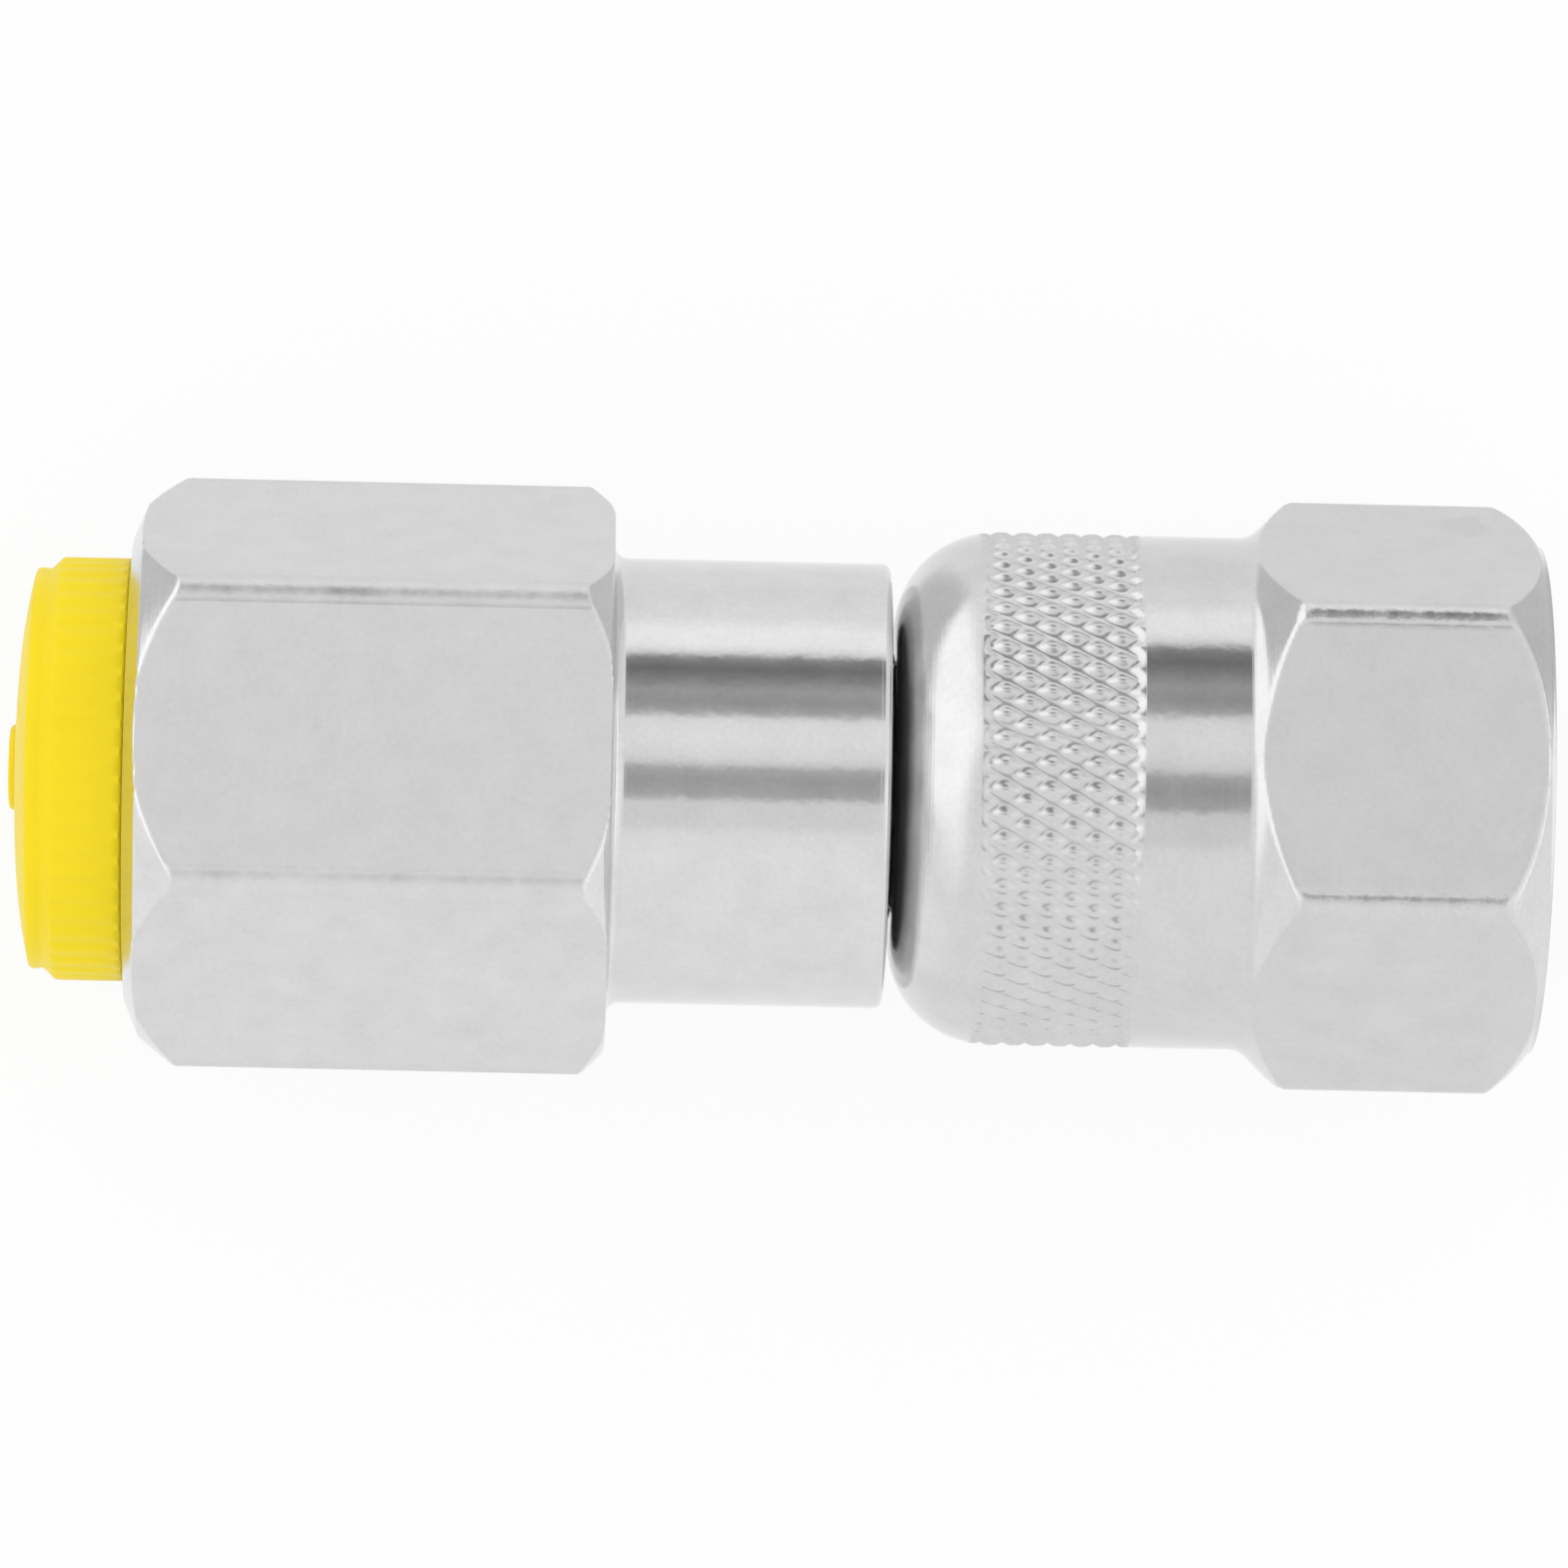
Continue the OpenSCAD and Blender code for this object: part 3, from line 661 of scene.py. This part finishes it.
def make_nut():
    length = (NUT_FRONT - NUT_REAR) / MM
    crest = NUT_CYL_R + KNURL_RISE
    stop_angle = math.degrees(math.acos((KNURL_START - DOME_R) / DOME_R))
    rows = KNURL_HALF_STEPS * KNURL_CELL // 2
    cone = arc(NUT_ROUND_LEN, NUT_CYL_R + NUT_CONE_FILLET, NUT_CONE_FILLET, 270, 315, 8)
    cone_end = cone[-1][0] + CORNER_R - 0.3 - cone[-1][1]
    meets = math.radians(NUT_FRONT_MEETS)
    front_x = length - NUT_FRONT_ROUND * math.cos(meets)
    front_r = CORNER_R - NUT_FRONT_DROP - NUT_FRONT_ROUND * math.sin(meets)
    front_end_r = front_r + NUT_FRONT_ROUND * math.sin(math.radians(NUT_FRONT_ARC[1]))
    thread_mouth = length - THREAD_CHAMFER
    thread_end = length - THREAD_CHAMFER - THREAD_LEN
    outline = [(NUT_WALL, NUT_BORE_R), (0.3, NUT_BORE_R), (0.0, NUT_BORE_R + 0.3)]
    outline += [(0.0, NUT_CYL_R - DOME_R - 0.2)]
    outline += arc(DOME_R, NUT_CYL_R - DOME_R, DOME_R, 180, stop_angle + 1.2, 18)
    band_end = KNURL_START + KNURL_LEN
    outline += [(KNURL_START - 0.02, dome_radius(KNURL_START - 0.02))]
    outline += stretch((KNURL_START, crest), (band_end, crest), rows)
    outline += [(band_end + 0.02, NUT_CYL_R), (band_end + 0.06, NUT_CYL_R)]
    outline += [(NUT_ROUND_LEN - 1.5, NUT_CYL_R), (NUT_ROUND_LEN - 0.12, NUT_CYL_R)]
    outline += cone + stretch(cone[-1], (cone_end, CORNER_R - 0.3), 10)[1:]
    outline += [(cone_end + 0.25, CORNER_R - 0.13), (cone_end + 0.6, CORNER_R), (cone_end + 1.5, CORNER_R)]
    outline += [(length - 2.6, CORNER_R)]
    outline += arc(front_x, front_r, NUT_FRONT_ROUND, *NUT_FRONT_ARC, 16)
    outline += arc(length - 0.1, front_end_r - 0.12, 0.1, 30, 0, 2)
    outline += [(length, THREAD_R + THREAD_CHAMFER + 0.04), (length - 0.02, THREAD_R + THREAD_CHAMFER)]
    outline += [(thread_mouth, THREAD_R), (thread_end, THREAD_R)]
    outline += [(thread_end, RELIEF_R), (NUT_WALL, RELIEF_R)]
    nut = spun("nut_shell", outline, NUT_COLUMNS, NUT_REAR)
    cut_knurl(nut)
    press_flats(nut, NUT_REAR, NUT_ROUND_LEN - 0.05, length - 0.02, NUT_CYL_R - 0.4)
    # The rolled band is duller than the turned steel beside it
    for vertex, flat in zip(nut.data.vertices, nut.data.attributes["flats"].data):
        x = (vertex.co.x - NUT_REAR) / MM
        if KNURL_START < x < band_end and radius_of(vertex) > NUT_CYL_R - 0.4:
            flat.value = KNURL_DULL
    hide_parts("swivel_nut")
    finish_piece(nut, "nut", NUT_STEEL, 35)
    ridge = thread_ridge("nut_thread", NUT_REAR, wall_r=THREAD_R + 0.03, crest_r=6.95, base=1.75,
                         crest=0.5, pitch=NUT_PITCH, start=thread_end + 0.9, turns=4.1)
    mark_turned(ridge)
    finish_piece(ridge, "nut", NUT_STEEL)


# The protective plug: ribs, domed face with its moulding boss, and a hollow threaded shank

def make_plug():
    rib_start = -PLUG_SEAT_GAP - PLUG_RIB_LEN
    face = PLUG_RIM_X - PLUG_DOME
    boss = face - PLUG_BOSS_H
    rim = PLUG_RIM_ROUND
    bore_r = PLUG_CORE_R - 0.6
    floor_x = PLUG_RIM_X + 1.4
    dome = [(face + PLUG_DOME * (i / 12) ** 3, (PLUG_DISC_R - rim) * i / 12) for i in range(3, 13)]
    outline = [(boss, 0.0), (boss, PLUG_BOSS_R - 0.15), (boss + 0.05, PLUG_BOSS_R - 0.04),
               (boss + 0.15, PLUG_BOSS_R), (face, PLUG_BOSS_R)]
    outline += dome
    outline += arc(PLUG_RIM_X + rim, PLUG_DISC_R - rim, rim, 150, 90, 3)
    outline += [(rib_start - 0.2, PLUG_DISC_R), (rib_start - 0.1, PLUG_DISC_R - 0.03),
                (rib_start - 0.02, PLUG_DISC_R - 0.02)]
    outline += stretch((rib_start + 0.05, PLUG_DISC_R + 0.02), (rib_start + 0.42, PLUG_R - 0.02), 5)
    outline += stretch((rib_start + 0.6, PLUG_R), (-PLUG_SEAT_GAP - 0.1, PLUG_R), 8)
    outline += [(-PLUG_SEAT_GAP, PLUG_R - 0.1), (-PLUG_SEAT_GAP, PLUG_CORE_R + 0.3), (0.4, PLUG_CORE_R)]
    outline += [(PLUG_SHANK_LEN - 0.4, PLUG_CORE_R), (PLUG_SHANK_LEN, PLUG_CORE_R - 0.4)]
    outline += [(PLUG_SHANK_LEN, bore_r + 0.01), (floor_x + 0.2, bore_r), (floor_x, bore_r - 0.2)]
    outline += [(floor_x, 0.0)]
    plug = spun("plug_shell", outline, PLUG_RIBS * RIB_COLUMNS, PORT_FACE)
    for vertex in plug.data.vertices:
        x = (vertex.co.x - PORT_FACE) / MM
        r = radius_of(vertex)
        if rib_start < x < 0 and r > PLUG_DISC_R - 0.05:
            turn = turns_of(vertex) * PLUG_RIBS
            wave = min(abs(turn % 1 - 0.5) * 2 / PLUG_GROOVE_SHARE, 1)
            groove = PLUG_RIB_DEPTH * 0.5 * (1 + math.cos(math.pi * wave)) * min(max(-x - 0.1, 0) / 0.5, 1)
            low = max(min(r, PLUG_R - groove), PLUG_DISC_R - 0.05)
            scale_radius(vertex, low / r)
    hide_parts("protective_plug")
    finish_piece(plug, "plug", YELLOW, 50)
    # The plug's ridge runs half a pitch away from the port's
    ridge = thread_ridge("plug_thread", PORT_FACE, wall_r=PLUG_CORE_R - 0.05, crest_r=6.3, base=0.9,
                         crest=0.25, pitch=GAUGE_PITCH, start=1.0 + GAUGE_PITCH / 2, turns=4.2)
    finish_piece(ridge, "plug", YELLOW)


make_body()
make_nut()
make_plug()


# Pieces inside the nut and the port keep their solids and get their own finishes

def dress(node, material):
    mesh = nodes[node].data
    if not mesh.materials:
        mesh.materials.append(material)
    for k in range(len(mesh.materials)):
        mesh.materials[k] = material


dress("thrust_washer", turned_metal("washer_brass", (0.78, 0.58, 0.28), 0.25))
dress("retaining_ring", turned_metal("spring_steel", (0.36, 0.36, 0.38), 0.28))
dress("opening_pin", turned_metal("pin_steel", (0.62, 0.62, 0.62), 0.2))
dress("nose_seal", moulded("seal_rubber", (0.018, 0.018, 0.018), 0.5, 0.3))
dress("backup_ring", moulded("backup_plastic", (0.82, 0.81, 0.77), 0.5, 0.2))
dress("gauge_seal", moulded("gauge_seal_rubber", (0.02, 0.035, 0.075), 0.5, 0.3))


# Studio: a white table, and a pale room with two dark gaps overhead and bright lamps on both sides

# How white the camera sees the table, with a faint trace of the shadow left
TABLE_GLOW = 0.9


def add_floor():
    deselect_all()
    bpy.ops.mesh.primitive_plane_add(size=3, location=(0, 0, FLOOR_Z))
    floor = bpy.context.active_object
    floor.name = "floor"
    material, tree, shader = new_material("white_table")
    shader.inputs["Base Color"].default_value = (0.85, 0.85, 0.85, 1)
    shader.inputs["Roughness"].default_value = 0.9
    shader.inputs["Specular IOR Level"].default_value = 0.1
    glow = tree.nodes.new("ShaderNodeEmission")
    glow.inputs["Color"].default_value = (1, 1, 1, 1)
    path = tree.nodes.new("ShaderNodeLightPath")
    mix = tree.nodes.new("ShaderNodeMixShader")
    link(tree, times(tree, path.outputs["Is Camera Ray"], TABLE_GLOW), mix.inputs["Fac"])
    link(tree, shader.outputs[0], mix.inputs[1])
    link(tree, glow.outputs[0], mix.inputs[2])
    # The metal mirrors the room through the table, as over a light table
    through = tree.nodes.new("ShaderNodeMixShader")
    link(tree, path.outputs["Is Glossy Ray"], through.inputs["Fac"])
    link(tree, mix.outputs[0], through.inputs[1])
    link(tree, tree.nodes.new("ShaderNodeBsdfTransparent").outputs[0], through.inputs[2])
    link(tree, through.outputs[0], tree.nodes["Material Output"].inputs["Surface"])
    floor.data.materials.append(material)


# Brightness of the room overhead, by degrees from the view direction towards the picture's top, with two
# dark gaps between the lamps
OVERHEAD = (
    (-180, 0.93), (-100, 0.98), (-40, 1.0), (-27, 0.97), (-22, 0.86), (-10, 0.84),
    (-7, 0.48), (1, 0.4), (7, 0.48),
    (10, 0.83), (14, 0.94), (22, 1.0), (33, 0.96),
    (36, 0.46), (42, 0.34), (49, 0.4), (54, 0.26), (61, 0.14), (68, 0.26),
    (71, 0.95), (76, 1.14), (86, 1.16), (95, 1.0), (112, 0.92), (180, 0.93))
# The same for the lamps on the left and the right, over the horizon
ON_LEFT = (
    (-180, 1.0), (-75, 1.0), (-50, 1.1), (-25, 1.3), (0, 1.42),
    (60, 1.42), (95, 1.38), (105, 1.2), (180, 1.0))
ON_RIGHT = (
    (-180, 1.0), (-75, 1.0), (-50, 1.05), (-25, 1.12), (0, 1.12),
    (30, 1.0), (60, 0.9), (95, 0.82), (105, 0.78), (180, 1.0))
FAR_RIGHT = 1.3
# Below the horizon on both sides, away from the viewer and towards the viewer
LOW_FAR = 0.68
LOW_NEAR = 1.06
# Full scale of all these levels, the level between lamps and overhead, and the even light on dull surfaces
BRIGHTEST = 1.5
BETWEEN = 0.97
FILL = 1.12


def add_room():
    world = bpy.data.worlds.new("studio")
    bpy.context.scene.world = world
    world.use_nodes = True
    tree = world.node_tree
    background = tree.nodes["Background"]
    coords = tree.nodes.new("ShaderNodeTexCoord")
    parts = tree.nodes.new("ShaderNodeSeparateXYZ")
    link(tree, coords.outputs["Generated"], parts.inputs[0])
    across = parts.outputs["X"]
    aside = math_node(tree, "ABSOLUTE", across)
    angle = math_node(tree, "ARCTAN2", parts.outputs["Y"], parts.outputs["Z"])
    # The view direction leans this far from the zenith towards -Y
    lean = math.radians(90 - VIEW_ELEVATION)
    share = math_node(tree, "DIVIDE", plus(tree, angle, lean + math.pi), 2 * math.pi)

    def by_angle(levels):
        stops = [((degrees + 180) / 360, level / BRIGHTEST) for degrees, level in levels]
        return ramp_node(tree, share, stops)

    right = blend(tree, smooth_step(tree, across, 0.86, 0.96), by_angle(ON_RIGHT), FAR_RIGHT / BRIGHTEST)
    lamps = blend(tree, smooth_step(tree, across, -0.1, 0.1), by_angle(ON_LEFT), right)
    far = smooth_step(tree, parts.outputs["Y"], 0.12, 0.4)
    low = blend(tree, far, LOW_NEAR / BRIGHTEST, LOW_FAR / BRIGHTEST)
    lamps = blend(tree, smooth_step(tree, parts.outputs["Z"], -0.12, 0.0), low, lamps)
    room = blend(tree, smooth_step(tree, aside, 0.16, 0.32), by_angle(OVERHEAD), BETWEEN / BRIGHTEST)
    # The lamps reach further in on the far side
    reach = plus(tree, aside, times(tree, smooth_step(tree, parts.outputs["Y"], -0.2, 0.35), 0.22))
    room = blend(tree, smooth_step(tree, reach, 0.5, 0.7), room, lamps)
    # Dull surfaces get an even light
    path = tree.nodes.new("ShaderNodeLightPath")
    room = blend(tree, path.outputs["Is Diffuse Ray"], room, FILL / BRIGHTEST)
    link(tree, room, background.inputs["Color"])
    background.inputs["Strength"].default_value = BRIGHTEST


add_floor()
add_room()
